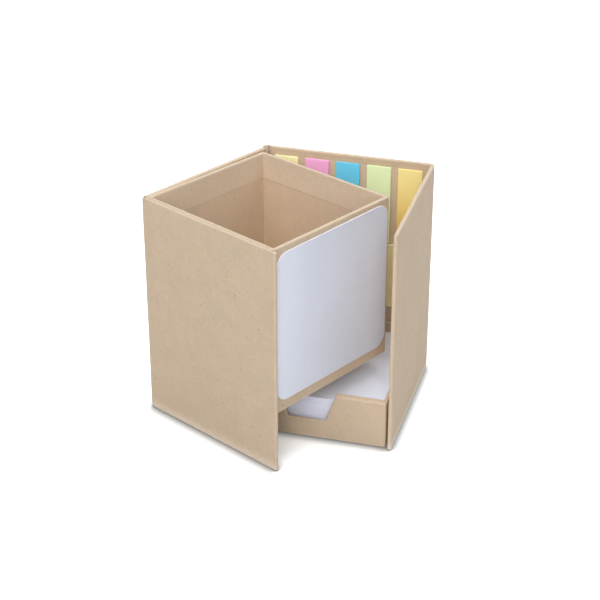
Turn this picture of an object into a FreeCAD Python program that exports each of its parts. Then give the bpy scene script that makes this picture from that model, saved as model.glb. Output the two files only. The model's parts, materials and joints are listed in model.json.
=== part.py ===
"""Memo pad holder: a greyboard cube covered in kraft paper that swings open on a paper hinge.

Two folded covers make the four sides of the cube.  The shell is the back cover and the side cover, with a
low memo tray between them.  The holder is the left cover and the front cover, with an open-top pen box in
the corner between them.  The holder swings about the upright fold at the back left corner.

Axes: +X to the side cover, +Y to the back cover, +Z up.  The origin is the centre of the memo tray, on the
table.  Every cover, tray and box is built the same way: boards, a cover paper wrapped over their edges and
turned in, and a lining paper between the turn-ins.  All sizes are in millimetres.
"""
import FreeCAD, Part
import math
import os

V = FreeCAD.Vector
UP = V(0, 0, 1)

# ---- sheet stock
board = 2.0               # greyboard
paper = 0.2               # kraft cover paper and lining paper
fold_dip = 0.5            # how far the paper at a fold lies below the board edges beside it

# ---- memo block and its tray
memo_width = 85.0
memo_depth = 85.0
memo_height = 20.3
memo_side_gap = 1.3       # each side, to the tray's walls
memo_front_gap = 1.35
memo_back_gap = 0.35
tray_rise = 6.6           # tray rim above the top of the memo block
tray_front_layers = 2     # boards in the tray's front wall
notch_depth = 16.3        # finger notch, measured down from the rim
notch_bottom_width = 21.6
notch_top_width = 33.2
notch_step = 2.2          # the inner board of the front is cut this much wider and deeper

# ---- sticky pads on the inside of the back cover, stacked upwards from the tray
note_width = 75.0
note_height = 41.0
note_thickness = 1.8
note_tray_gap = 10.6      # tray rim to note pad
flag_width = 14.8
flag_height = 48.0
flag_thickness = 1.2
flag_min_gap = 3.0        # between two flag pads, which spread over the width of the cube
flag_note_gap = 1.2       # note pad to flag pads
flag_top_gap = 4.7        # flag pads to the top edge of the cover
flag_row_margin = 1.7     # from the sides of the tray to the row of flag pads above it
flag_colours = ("yellow", "pink", "blue", "green", "orange")

# ---- covers
turn_in = 16.0            # cover paper turned in over the rims of the tray and the pen box
cover_turn_in = 4.0       # cover paper that shows beside the lining of the covers
hinge_lap = 6.0           # the same at the ends beside the hinge
cover_foot_gap = 0.3      # the part stands on its tray, and the covers just clear the table
tray_side_gap = 1.4       # tray to the side cover, which springs out a little
left_gap = 3.8            # shut: tray to left cover
front_gap = 2.05          # shut: tray to front cover
shut_gap = 0.2            # shut: end of the side cover to the front cover
front_end_inset = 0.8     # shut: end of the front cover, in from the face of the side cover

# ---- base sheets under the tray and the pen box
base_sheet_inset = 2.0    # from the edges of the base

# ---- pen box on the holder
box_tray_gap = 4.8        # pen box above the tray rim
box_pad_gap = 0.75        # shut: pen box to the note pad
box_side_gap = 0.8        # shut: white panel to the side cover
panel_thickness = 0.4     # white wipe-off panel
panel_side_margin = 1.7
panel_top_margin = 4.0
panel_bottom_margin = 7.0
panel_corner = 8.0

# ---- paper hinge
hinge_end_gap = 0.1       # between the hinge's corner and the end of the left cover
hinge_back_gap = 1.4      # the same to the end of the back cover, where the fold shows from inside
hinge_clearance = 0.3     # between the fold and the end of the left cover that turns round it
rest_opening = 26.8       # degrees that the holder stands open

# ---- worked out from the sizes above
wall = board + 2 * paper
edge_radius = 2 * paper
corner_radius = 3 * paper
tray_front_wall = tray_front_layers * board + 2 * paper
flag_count = len(flag_colours)
tray_width = max(memo_width + 2 * memo_side_gap + 2 * wall,
                 flag_count * flag_width + (flag_count - 1) * flag_min_gap + 2 * flag_row_margin,
                 note_width + 2 * flag_row_margin)
flag_row = tray_width - 2 * flag_row_margin
flag_pitch = (flag_row - flag_width) / (flag_count - 1)
tray_depth = tray_front_wall + memo_front_gap + memo_depth + memo_back_gap + wall
memo_bottom = paper + wall
tray_top = memo_bottom + memo_height + tray_rise
note_bottom = tray_top + note_tray_gap
flag_bottom = note_bottom + note_height + flag_note_gap
cover_top = flag_bottom + flag_height + flag_top_gap

back_inner_y = tray_depth / 2
back_outer_y = back_inner_y + wall
side_inner_x = tray_width / 2 + tray_side_gap
side_outer_x = side_inner_x + wall
left_outer_x = -tray_width / 2 - left_gap - wall
front_outer_y = -tray_depth / 2 - front_gap - wall
side_end_y = front_outer_y + wall + shut_gap

hinge_x = left_outer_x + wall / 2
hinge_y = back_outer_y - wall / 2
hinge_slot = wall / 2 + hinge_end_gap
back_end_x = hinge_x + wall / 2 + hinge_back_gap
hinge_radius = hinge_slot - hinge_clearance

box_low = V(left_outer_x + wall, front_outer_y + wall, tray_top + box_tray_gap)
box_high = V(side_inner_x - box_side_gap - panel_thickness,
             back_inner_y - note_thickness - box_pad_gap, cover_top)
tray_low = V(-tray_width / 2, -tray_depth / 2, 0)
tray_high = V(tray_width / 2, tray_depth / 2, tray_top)


def block(low, high):
    """A box from its lowest corner to its highest corner."""
    size = high - low
    return Part.makeBox(size.x, size.y, size.z, low)


def rounded_outline(corners):
    """A closed outline in the XY plane through (x, y, radius) corners, each rounded by its radius."""
    count = len(corners)
    points = [V(x, y, 0) for x, y, radius in corners]
    starts, ends, middles = [], [], []
    for i, (x, y, radius) in enumerate(corners):
        to_last = (points[i - 1] - points[i]).normalize()
        to_next = (points[(i + 1) % count] - points[i]).normalize()
        half_angle = to_last.getAngle(to_next) / 2
        run = radius / math.tan(half_angle)
        starts.append(points[i] + to_last * run)
        ends.append(points[i] + to_next * run)
        bisector = (to_last + to_next).normalize()
        middles.append(points[i] + bisector * (radius / math.sin(half_angle) - radius))
    edges = []
    for i in range(count):
        if corners[i][2] > 0:
            edges.append(Part.Arc(starts[i], middles[i], ends[i]).toShape())
        edges.append(Part.LineSegment(ends[i], starts[(i + 1) % count]).toShape())
    return Part.Wire(edges)


def upright_prism(corners, low_z, high_z):
    """The rounded outline pulled up from low_z to high_z."""
    prism = Part.Face(rounded_outline(corners)).extrude(UP * (high_z - low_z))
    prism.translate(UP * low_z)
    return prism


def level_edges(shape, z):
    """The edges of a shape that lie flat at height z."""
    return [edge for edge in shape.Edges
            if all(abs(vertex.Z - z) < 1e-6 for vertex in edge.Vertexes)]


def folded_cover(length_u, length_v, lap_u, lap_v):
    """Two boards in one folded sheet: board U along +X and board V along +Y from the fold at the origin.

    lap_u and lap_v are the widths turned in at the far ends.  Returns boards U and V, the cover paper and
    the lining paper.
    """
    fold_radius = wall - paper
    envelope = upright_prism([(0, 0, fold_radius), (length_u, 0, edge_radius),
                              (length_u, wall, edge_radius), (wall, wall, 0),
                              (wall, length_v, edge_radius), (0, length_v, edge_radius)],
                             cover_foot_gap, cover_top)
    rims = level_edges(envelope, cover_foot_gap) + level_edges(envelope, cover_top)
    envelope = envelope.makeFillet(edge_radius, rims)

    board_low_z, board_high_z = cover_foot_gap + paper, cover_top - paper
    board_u = block(V(wall, paper, board_low_z), V(length_u - paper, paper + board, board_high_z))
    board_v = block(V(paper, wall, board_low_z), V(paper + board, length_v - paper, board_high_z))

    # At the fold the sheet has no board behind it: it dips at both ends and is hollow inside.
    fold_low_z, fold_high_z = cover_foot_gap + fold_dip, cover_top - fold_dip
    dip_low = block(V(-wall, -wall, -wall), V(fold_radius, fold_radius, fold_low_z))
    dip_high = block(V(-wall, -wall, fold_high_z), V(fold_radius, fold_radius, cover_top + wall))
    fold_centre = V(fold_radius - paper / 2, fold_radius - paper / 2, fold_low_z + paper)
    hollow_radius = board - paper
    hollow = Part.makeCylinder(hollow_radius, fold_high_z - fold_low_z - 2 * paper, fold_centre, UP, 90)
    hollow.rotate(fold_centre, UP, 180)

    lining_low_z, lining_high_z = cover_foot_gap + cover_turn_in, cover_top - cover_turn_in
    lining_u = block(V(fold_radius, fold_radius, lining_low_z), V(length_u - lap_u, wall, lining_high_z))
    lining_v = block(V(fold_radius, fold_radius, lining_low_z), V(wall, length_v - lap_v, lining_high_z))
    lining = lining_u.fuse(lining_v).removeSplitter()

    cover = envelope.cut([dip_low, dip_high, hollow, board_u, board_v, lining])
    return board_u, board_v, cover, lining


def notch_prism(margin, front_y):
    """The finger notch from front_y back through the tray's front wall, larger all round by margin."""
    slope = (notch_top_width - notch_bottom_width) / 2 / notch_depth
    spread = margin * math.hypot(1, slope)
    over = wall
    bottom_z = tray_top - notch_depth - margin
    bottom_x = notch_bottom_width / 2 + spread - slope * margin
    top_x = notch_top_width / 2 + spread + slope * over
    corners = [V(-bottom_x, front_y, bottom_z), V(bottom_x, front_y, bottom_z),
               V(top_x, front_y, tray_top + over), V(-top_x, front_y, tray_top + over)]
    face = Part.Face(Part.makePolygon(corners + corners[:1]))
    return face.extrude(V(0, tray_low.y + tray_front_wall + over - front_y, 0))


def wrapped_box(low, high, front_layers, notched):
    """An open-top box of boards in a cover paper, with a lining, standing on a base sheet.

    Returns a dictionary of the boards and the three papers.  The front wall has front_layers boards.
    """
    foot_z = low.z + paper
    front_wall = front_layers * board + 2 * paper
    envelope = upright_prism([(low.x, low.y, corner_radius), (high.x, low.y, corner_radius),
                              (high.x, high.y, corner_radius), (low.x, high.y, corner_radius)],
                             foot_z, high.z)
    cavity_low = V(low.x + wall, low.y + front_wall, foot_z + wall)
    cavity_high = V(high.x - wall, high.y - wall, high.z)
    shell = envelope.cut(block(cavity_low, cavity_high))
    shell = shell.makeFillet(edge_radius, level_edges(shell, high.z) + level_edges(shell, foot_z))

    board_low = V(low.x + paper, low.y + paper, foot_z + paper)
    board_high = V(high.x - paper, high.y - paper, high.z - paper)
    inner_low = board_low + V(board, board, 0)
    inner_high = board_high - V(board, board, 0)
    inner_front_y = board_low.y + front_layers * board
    pieces = {
        "floor_board": block(V(inner_low.x, inner_front_y, board_low.z),
                             V(inner_high.x, inner_high.y, board_low.z + board)),
        "back_board": block(V(board_low.x, inner_high.y, board_low.z), board_high),
        "left_board": block(V(board_low.x, inner_low.y, board_low.z),
                            V(inner_low.x, inner_high.y, board_high.z)),
        "right_board": block(V(inner_high.x, inner_low.y, board_low.z),
                             V(board_high.x, inner_high.y, board_high.z)),
        "front_board": block(board_low, V(board_high.x, inner_low.y, board_high.z)),
    }
    if front_layers > 1:
        pieces["front_inner_board"] = block(inner_low, V(inner_high.x, inner_front_y, board_high.z))
    lining_low = cavity_low - V(paper, paper, paper)
    lining_high = V(cavity_high.x + paper, cavity_high.y + paper, high.z - turn_in)
    lining = block(lining_low, lining_high).cut(block(cavity_low, cavity_high))

    if notched:
        # The inner board is cut back, so that only the front board's edge shows in the notch.
        step_y = inner_low.y + paper
        notch = notch_prism(0, low.y - wall).fuse(notch_prism(notch_step, step_y))
        pieces["front_board"] = pieces["front_board"].cut(notch_prism(paper, low.y - wall))
        pieces["front_inner_board"] = pieces["front_inner_board"].cut(
            notch_prism(notch_step + paper, inner_low.y - wall))
        shell = shell.cut(notch)
        lining = lining.cut(notch)
    pieces["cover_paper"] = shell.cut(list(pieces.values()) + [lining])
    pieces["lining_paper"] = lining
    pieces["base_paper"] = block(V(low.x + base_sheet_inset, low.y + base_sheet_inset, low.z),
                                 V(high.x - base_sheet_inset, high.y - base_sheet_inset, foot_z))
    return pieces


def hinge_fold():
    """The strip of cover paper round the hinge axis, from the back cover to the end of the left cover."""
    low_z, high_z = cover_foot_gap + fold_dip, cover_top - fold_dip
    foot = V(hinge_x, hinge_y, low_z)
    arc = Part.makeCylinder(hinge_radius, high_z - low_z, foot, UP, 180 - rest_opening)
    arc.rotate(foot, UP, 90)
    arc = arc.cut(Part.makeCylinder(hinge_radius - paper, high_z - low_z, foot, UP))
    run = block(V(hinge_x, hinge_y + hinge_radius - paper, low_z),
                V(back_end_x, hinge_y + hinge_radius, high_z))
    return arc.fuse(run).removeSplitter()


def shell_covers():
    """The back cover and the side cover, folded round the back right corner."""
    length_u = side_outer_x - back_end_x
    length_v = back_outer_y - side_end_y
    shapes = folded_cover(length_u, length_v, hinge_lap, cover_turn_in)
    for shape in shapes:
        shape.rotate(V(0, 0, 0), UP, 180)
        shape.translate(V(side_outer_x, back_outer_y, 0))
    names = ("back_cover_board", "side_cover_board", "shell_cover_paper", "shell_lining_paper")
    return dict(zip(names, shapes))


def holder_covers():
    """The front cover and the left cover, folded round the front left corner, shut."""
    length_u = side_outer_x - front_end_inset - left_outer_x
    length_v = (hinge_y - hinge_slot) - front_outer_y
    shapes = folded_cover(length_u, length_v, cover_turn_in, hinge_lap)
    for shape in shapes:
        shape.translate(V(left_outer_x, front_outer_y, 0))
    names = ("front_cover_board", "left_cover_board", "holder_cover_paper", "holder_lining_paper")
    return dict(zip(names, shapes))


def memo_tray():
    """The low tray glued between the back cover and the side cover."""
    pieces = wrapped_box(tray_low, tray_high, tray_front_layers, notched=True)
    return {"tray_" + name: shape for name, shape in pieces.items()}


def memo_block():
    """The block of loose sheets, which lies near the back of the tray."""
    back_y = tray_high.y - wall - memo_back_gap
    return block(V(-memo_width / 2, back_y - memo_depth, memo_bottom),
                 V(memo_width / 2, back_y, memo_bottom + memo_height))


def sticky_pads():
    """The note pad and the row of flag pads on the inside of the back cover."""
    pads = {"sticky_note_pad": block(V(-note_width / 2, back_inner_y - note_thickness, note_bottom),
                                     V(note_width / 2, back_inner_y, note_bottom + note_height))}
    for i, colour in enumerate(flag_colours):
        left_x = -flag_row / 2 + i * flag_pitch
        pads["flag_pad_" + colour] = block(
            V(left_x, back_inner_y - flag_thickness, flag_bottom),
            V(left_x + flag_width, back_inner_y, flag_bottom + flag_height))
    return pads


def pen_box():
    """The open-top box in the corner of the holder, shut."""
    pieces = wrapped_box(box_low, box_high, 1, notched=False)
    return {"pen_box_" + name: shape for name, shape in pieces.items()}


def whiteboard_panel():
    """The thin white panel on the outer face of the pen box, shut."""
    low_y, high_y = box_low.y + panel_side_margin, box_high.y - panel_side_margin
    low_z, high_z = box_low.z + panel_bottom_margin, box_high.z - panel_top_margin
    panel = upright_prism([(low_y, low_z, panel_corner), (high_y, low_z, panel_corner),
                           (high_y, high_z, panel_corner), (low_y, high_z, panel_corner)],
                          0, panel_thickness)
    # The prism's X, Y and Z turn into the part's Y, Z and X.
    panel.rotate(V(0, 0, 0), V(1, 1, 1), 120)
    panel.translate(V(box_high.x, 0, 0))
    return panel


def swung(shapes):
    """The holder's shapes turned open about the hinge axis."""
    for shape in shapes.values():
        shape.rotate(V(hinge_x, hinge_y, 0), UP, -rest_opening)
    return shapes


def main():
    nodes = {}
    nodes.update(shell_covers())
    nodes["hinge_fold_paper"] = hinge_fold()
    nodes.update(memo_tray())
    nodes["memo_block"] = memo_block()
    nodes.update(sticky_pads())
    nodes.update(swung({**holder_covers(), **pen_box(), "whiteboard_panel": whiteboard_panel()}))

    os.makedirs("parts", exist_ok=True)
    for name, shape in nodes.items():
        shape.exportStep("parts/" + name + ".step")
        box = shape.BoundBox
        print("%-26s solids %d valid %s volume %9.1f  x %6.1f..%6.1f  y %6.1f..%6.1f  z %5.1f..%5.1f" % (
            name, len(shape.Solids), shape.isValid(), shape.Volume,
            box.XMin, box.XMax, box.YMin, box.YMax, box.ZMin, box.ZMax))
    print("shut: %.1f wide, %.1f deep, %.1f high" % (
        side_outer_x - left_outer_x, back_outer_y - front_outer_y, cover_top))


main()
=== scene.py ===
# %% [markdown]
# # A desk cube of kraft paper and greyboard, dressed over its frame
#
# The object is a memo pad holder, about 10 cm square and 13.5 cm high.  Two folded covers make the four
# sides of the cube.  The *shell* is the back cover and the side cover, with a low tray of memo sheets
# between them, and a note pad and five flag pads on the inside of the back cover.  The *holder* is the left
# cover and the front cover, with an open pen box in their corner and a white wipe-off panel on the side of
# that box.  The holder swings about an upright paper fold at the back left corner.
#
# The solids come as a frame, with one node for each board, sheet and pad.  This script gives them their
# looks: rolled paper edges, seams, stacks of leaves, and materials.  Lengths are in metres.

# %% Load the frame
import math

import bpy
import numpy as np
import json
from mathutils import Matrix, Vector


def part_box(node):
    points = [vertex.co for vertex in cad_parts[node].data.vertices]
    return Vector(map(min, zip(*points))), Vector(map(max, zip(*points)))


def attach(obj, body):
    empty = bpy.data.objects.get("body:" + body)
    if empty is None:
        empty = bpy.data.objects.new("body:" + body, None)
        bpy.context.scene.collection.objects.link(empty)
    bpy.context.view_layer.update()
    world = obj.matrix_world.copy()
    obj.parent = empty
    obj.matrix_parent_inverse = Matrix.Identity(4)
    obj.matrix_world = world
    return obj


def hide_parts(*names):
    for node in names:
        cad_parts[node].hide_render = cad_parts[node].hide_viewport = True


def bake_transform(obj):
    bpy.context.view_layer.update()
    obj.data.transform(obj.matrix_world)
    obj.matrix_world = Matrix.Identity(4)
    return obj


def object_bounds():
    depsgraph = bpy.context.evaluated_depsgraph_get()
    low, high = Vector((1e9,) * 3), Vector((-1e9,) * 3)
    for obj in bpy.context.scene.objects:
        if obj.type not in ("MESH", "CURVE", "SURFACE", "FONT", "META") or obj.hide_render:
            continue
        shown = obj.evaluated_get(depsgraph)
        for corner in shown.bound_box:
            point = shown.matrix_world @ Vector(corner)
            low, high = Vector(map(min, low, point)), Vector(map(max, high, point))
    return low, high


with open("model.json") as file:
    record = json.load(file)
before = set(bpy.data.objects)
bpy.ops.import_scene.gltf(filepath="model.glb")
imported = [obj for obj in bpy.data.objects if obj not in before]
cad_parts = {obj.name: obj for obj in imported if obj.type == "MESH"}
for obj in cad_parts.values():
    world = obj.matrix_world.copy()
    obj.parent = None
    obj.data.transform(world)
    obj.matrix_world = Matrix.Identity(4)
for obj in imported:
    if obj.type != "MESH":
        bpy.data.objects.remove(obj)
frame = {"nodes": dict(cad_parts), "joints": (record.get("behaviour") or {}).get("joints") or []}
cad_low, cad_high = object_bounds()

# %% [markdown]
# ## Sheet stock and the hinge
#
# Everything is 2 mm greyboard, a kraft cover paper wrapped over its edges, and a kraft lining paper pasted
# over the turned-in cover paper.  The sizes of the pieces could be written down here again, but then they
# might drift away from the solids, so they are read from the frame.  The holder stands open at rest, and a
# box round a slanted solid says little.  So its solids' points are turned back about the hinge, to where
# the cube is shut and square, and every new piece of the holder is worked out there and then opened again.

# %% Stock sizes, and turning about the hinge
MM = 0.001
PAPER = 0.2 * MM
BOARD = 2 * MM
WALL = BOARD + 2 * PAPER
TURN_IN = 16 * MM
COVER_TURN_IN = 4 * MM

swing = frame["joints"][0]
hinge_x, hinge_y = swing["pos_m"][:2]
OPEN_AT_REST = -swing["range_deg"][0]


def turned(points, degrees):
    """The points turned by angle a about the upright hinge axis.

    x becomes x times cos a, less y times sin a, and y becomes x times sin a, plus y times cos a.
    """
    angle = math.radians(degrees)
    cos, sin = math.cos(angle), math.sin(angle)
    points = np.array(points, float)
    x, y = points[..., 0] - hinge_x, points[..., 1] - hinge_y
    points[..., 0] = hinge_x + x * cos - y * sin
    points[..., 1] = hinge_y + x * sin + y * cos
    return points


def opened(points):
    """Points of the holder, from where they are when the cube is shut to where they are at rest."""
    return turned(points, -OPEN_AT_REST)


def shut_box(node):
    """Lowest and highest corner of a holder's node, measured with the cube shut."""
    mesh = frame["nodes"][node].data
    points = np.empty(len(mesh.vertices) * 3)
    mesh.vertices.foreach_get("co", points)
    points = turned(points.reshape(-1, 3), OPEN_AT_REST)
    return points.min(0), points.max(0)


def rest_box(node):
    """Lowest and highest corner of a shell's node, as arrays."""
    low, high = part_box(node)
    return np.array(low), np.array(high)


# %% [markdown]
# ## Camera
#
# A view without perspective would keep every upright edge parallel.  A camera just under a metre away,
# above the rim and a little to the right of the front, sees them draw together slightly towards the foot,
# so it has a real lens, and a long one.

# %% Camera
camera = bpy.data.objects.new("camera", bpy.data.cameras.new("camera"))
camera.location = (0.214236, -0.817228, 0.522778)
camera.rotation_euler = (math.radians(90 - 28.507), 0, math.radians(15.794))
camera.data.sensor_width = 36
camera.data.lens = 100.193
bpy.context.scene.collection.objects.link(camera)
bpy.context.scene.camera = camera
print(f"camera {camera.location.length:.2f} m from the origin, {camera.data.lens:.0f} mm lens")

# %% [markdown]
# ## Wiring materials
#
# Paper could be an image, but an image has to be unwrapped on each piece and shows where its edges meet.
# Here every material is wired from procedural nodes on object coordinates, so a paper fits any piece,
# whatever its mesh.  `node` makes one shader node, sets its settings and fills or links its sockets, and
# the helpers after it are the few patterns and mixes that all the papers share.

# %% Colours and shader nodes
NOISE_LOW, NOISE_HIGH = 0.3, 0.7
EVEN = (1, 1, 1)


def srgb(red, green, blue):
    """A colour given as 0 to 255 screen values, made linear, with full alpha.

    Up to 0.04045 of full the value is divided by 12.92.  Above that, 0.055 is added, the sum is divided by
    1.055, and that is raised to the power 2.4.
    """
    linear = []
    for value in (red / 255, green / 255, blue / 255):
        linear.append(value / 12.92 if value < 0.04045 else ((value + 0.055) / 1.055) ** 2.4)
    return (*linear, 1.0)


def node(tree, kind, sockets=None, **settings):
    """One shader node.  sockets maps a socket's name or number to a value or to an output to link from."""
    made = tree.nodes.new("ShaderNode" + kind)
    for name, value in settings.items():
        setattr(made, name, value)
    for key, value in (sockets or {}).items():
        if isinstance(value, bpy.types.NodeSocket):
            tree.links.new(value, made.inputs[key])
        else:
            made.inputs[key].default_value = value
    return made


def new_material(name):
    """An empty material.  Returns it, its node tree and the object coordinates as an output socket."""
    material = bpy.data.materials.new(name)
    material.use_nodes = True
    tree = material.node_tree
    tree.nodes.clear()
    return material, tree, node(tree, "TexCoord").outputs["Object"]

# %% Patterns from noise


def noise(tree, coords, stretch, scale, detail=3.0, roughness=0.5):
    """Noise, mostly from NOISE_LOW to NOISE_HIGH, with `scale` blobs to the metre before it is stretched."""
    mapped = node(tree, "Mapping", {"Vector": coords, "Scale": stretch}).outputs[0]
    sockets = {"Vector": mapped, "Scale": scale, "Detail": detail, "Roughness": roughness}
    return node(tree, "TexNoise", sockets).outputs[0]


def between(tree, value, low, high, new_low, new_high, smooth=False):
    """The value mapped from low..high to new_low..new_high, and held at the ends."""
    kind = "SMOOTHSTEP" if smooth else "LINEAR"
    sockets = {"Value": value, "From Min": low, "From Max": high, "To Min": new_low, "To Max": new_high}
    return node(tree, "MapRange", sockets, interpolation_type=kind).outputs[0]


def from_noise(tree, value, low, high):
    """A noise output spread over low..high."""
    return between(tree, value, NOISE_LOW, NOISE_HIGH, low, high)

# %% Products and mixes


def larger(tree, first, second):
    """The larger of two numbers or outputs."""
    return node(tree, "Math", {0: first, 1: second}, operation="MAXIMUM").outputs[0]


def product(tree, first, *others):
    """The product of numbers or outputs, multiplied from left to right."""
    for other in others:
        first = node(tree, "Math", {0: first, 1: other}, operation="MULTIPLY").outputs[0]
    return first


def blend_colours(tree, factor, first, second):
    """The first colour at factor 0, the second at factor 1, and their mix in between."""
    return node(tree, "Mix", {0: factor, 6: first, 7: second}, data_type="RGBA").outputs[2]


def shaded(tree, colour, factor):
    """A colour made lighter or darker: every channel times factor."""
    start = colour if isinstance(colour, bpy.types.NodeSocket) else colour[:3]
    return node(tree, "VectorMath", {0: start, "Scale": factor}, operation="SCALE").outputs[0]

# %% Surface of a material


def attribute(tree, name):
    """A number painted on the mesh's points.  It reads as 0 on a mesh that doesn't have it."""
    return node(tree, "Attribute", attribute_name=name).outputs["Fac"]


def finish_material(material, tree, colour, roughness, height, depth, specular=0.3, coat=0.0):
    """Joins colour, roughness and a height of `depth` metres into one Principled surface."""
    bump = node(tree, "Bump", {"Height": height, "Distance": depth, "Strength": 1.0}).outputs[0]
    sockets = {"Base Color": colour, "Roughness": roughness, "Normal": bump,
               "Specular IOR Level": specular, "Coat Weight": coat, "Coat Roughness": 0.15}
    surface = node(tree, "BsdfPrincipled", sockets).outputs[0]
    node(tree, "OutputMaterial", {"Surface": surface})
    print(f"{material.name}: {len(tree.nodes)} shader nodes")
    return material


# %% [markdown]
# ## Kraft paper
#
# Kraft paper is unbleached, so its colour is uneven at three sizes: soft clouds a centimetre or two wide
# where the pulp is denser, fine fibres, and single dark and pale flecks of bark and straw that lie every
# way.  One noise has one size, so each of these has its own.  The flecks are only the highest peaks of a
# stretched noise, because those are rare and long.
#
# Marks that follow the shape, which no noise knows about, are painted on the points as three attributes.
# `edge` marks the rims where the paper is folded over, and there it is painted shade: a darker colour,
# because the rims face up and catch more light than the faces.  A second attribute makes the paper pale:
# painted light along the lower edges, where the floor throws light back, and inside the pen box, and plain
# paler bands at the covers' ends and along the top of the hinge strip.  `seam` is the thin shadow along a
# pasted overlap or between leaves.

# %% Kraft paper
# The dark colour of bark flecks, and of the painted shadow in seams.
BARK_AND_SHADE = srgb(118, 92, 70)
FLECK_RIM = 0.05
# The third shares give the rims' darker colour: painted shade, as the rims face up and catch more light.
WARMER, COOLER, RIM_SHADE = (1.012, 0.99, 0.98), (0.985, 1.01, 1.015), (0.71, 0.73, 0.75)
SEAM_STRENGTH = 0.5
PALE_FLECKS = (((0.9, 0.8, 0.2), 820, 0.672, 0.3), ((-0.7, -0.9, 0.5), 1050, 0.665, 0.22))
DARK_FLECKS = (((0.4, -0.5, 0.9), 1100, 0.70, 0.32), ((-1.1, 0.6, 0.1), 620, 0.715, 0.75))


def scaled(colour, shares):
    """A colour with its red, green and blue multiplied by a share each."""
    return (*(channel * share for channel, share in zip(colour, shares)), 1)


def flecks(tree, coords, turned_by, scale, threshold, strength):
    """Small long flecks: the peaks of a stretched noise, turned so that they lie at an angle."""
    mapped = node(tree, "Mapping", {"Vector": coords, "Rotation": turned_by}).outputs[0]
    peaks = noise(tree, mapped, (1, 1, 0.32), scale, 2)
    return between(tree, peaks, threshold, threshold + FLECK_RIM, 0, strength, True)


def kraft_paper(name, colour, pale):
    """Uncoated kraft paper in the given colour.  pale is the colour of lifted fibres, pale flecks and the
    pale bands, which are partly painted light.
    """
    material, tree, coords = new_material(name)
    clouds = from_noise(tree, noise(tree, coords, EVEN, 90, 4, 0.6), 0.965, 1.035)
    grain = noise(tree, coords, (1, 1, 0.55), 1500, 5, 0.7)
    fibres = from_noise(tree, grain, 0.95, 1.05)
    mottle = from_noise(tree, noise(tree, coords, (1, 1, 0.7), 600, 4, 0.65), 0.965, 1.035)
    tone = product(tree, clouds, fibres, mottle)
    hue = between(tree, noise(tree, coords, (1, 1, 0.8), 130, 3, 0.6), 0.35, 0.65, 0, 1)
    tinted = blend_colours(tree, hue, scaled(colour, WARMER), scaled(colour, COOLER))
    paper = shaded(tree, tinted, tone)

    for tint, sets in ((pale, PALE_FLECKS), (BARK_AND_SHADE, DARK_FLECKS)):
        for turned_by, scale, threshold, strength in sets:
            share = flecks(tree, coords, turned_by, scale, threshold, strength)
            paper = blend_colours(tree, share, paper, tint)

    # Painted shade on the rims.
    edge = product(tree, attribute(tree, "edge"), from_noise(tree, grain, 0.95, 0.6))
    # The pale bands: painted light along the lower edges and inside the pen box, plain paler paper elsewhere.
    pale_and_painted_light = product(tree, attribute(tree, "pale_and_painted_light"), between(tree, mottle, 0.97, 1.03, 0.6, 0.95))
    seam = product(tree, attribute(tree, "seam"), SEAM_STRENGTH)
    for share, tint in ((edge, scaled(colour, RIM_SHADE)), (pale_and_painted_light, pale), (seam, BARK_AND_SHADE)):
        paper = blend_colours(tree, share, paper, tint)
    roughness = from_noise(tree, grain, 0.72, 0.9)
    return finish_material(material, tree, paper, roughness, grain, 0.05 * MM, 0.25)


cover_kraft = kraft_paper("kraft_cover_paper", srgb(203, 181, 156), srgb(232, 217, 196))
# The lining's colour is a little lighter than the cover paper's: painted light for the insides, which get
# less light.
lining_kraft = kraft_paper("kraft_lining_paper", srgb(209, 188, 164), srgb(234, 220, 200))

# %% [markdown]
# ## Greyboard
#
# Greyboard is pressed waste paper: grey, speckled and rough.  It is all covered here and shows nowhere, but
# it is finished as what it is.

# %% Greyboard


def greyboard(name):
    """Raw grey board with fibres of mixed waste paper."""
    material, tree, coords = new_material(name)
    grain = noise(tree, coords, EVEN, 1100, 5, 0.65)
    share = from_noise(tree, grain, 0, 1)
    colour = blend_colours(tree, share, srgb(132, 124, 114), srgb(168, 160, 149))
    return finish_material(material, tree, colour, 0.9, grain, 0.1 * MM, 0.2)


raw_board = greyboard("greyboard")

# %% [markdown]
# ## White and dyed papers
#
# The memo sheets are smooth white paper that looks a little blue.  The flags and the note pad are dyed
# paper.  One flat colour would do for a single sheet, but light gets lost between the leaves of a pad.  So
# each paper has a second, deeper tint, which comes in where `seam` marks the gaps.

# %% White and dyed papers


def leaf_paper(name, colour, deep, fade=None):
    """Smooth paper.  deep is the tint between its leaves, and fade=(low z, high z) deepens it downwards."""
    material, tree, coords = new_material(name)
    grain = noise(tree, coords, EVEN, 1700, 4, 0.6)
    clouds = noise(tree, coords, EVEN, 45, 2)
    tones = [from_noise(tree, pattern, 0.985, 1.015) for pattern in (grain, clouds)]
    paper = shaded(tree, colour, product(tree, *tones))
    if fade:
        height = node(tree, "SeparateXYZ", {0: coords}).outputs["Z"]
        paper = blend_colours(tree, between(tree, height, *fade, 0.75, 0, True), paper, deep)
    between_leaves = product(tree, attribute(tree, "seam"), SEAM_STRENGTH)
    paper = blend_colours(tree, between_leaves, paper, deep)
    return finish_material(material, tree, paper, from_noise(tree, grain, 0.55, 0.7), grain, 0.02 * MM)


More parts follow.
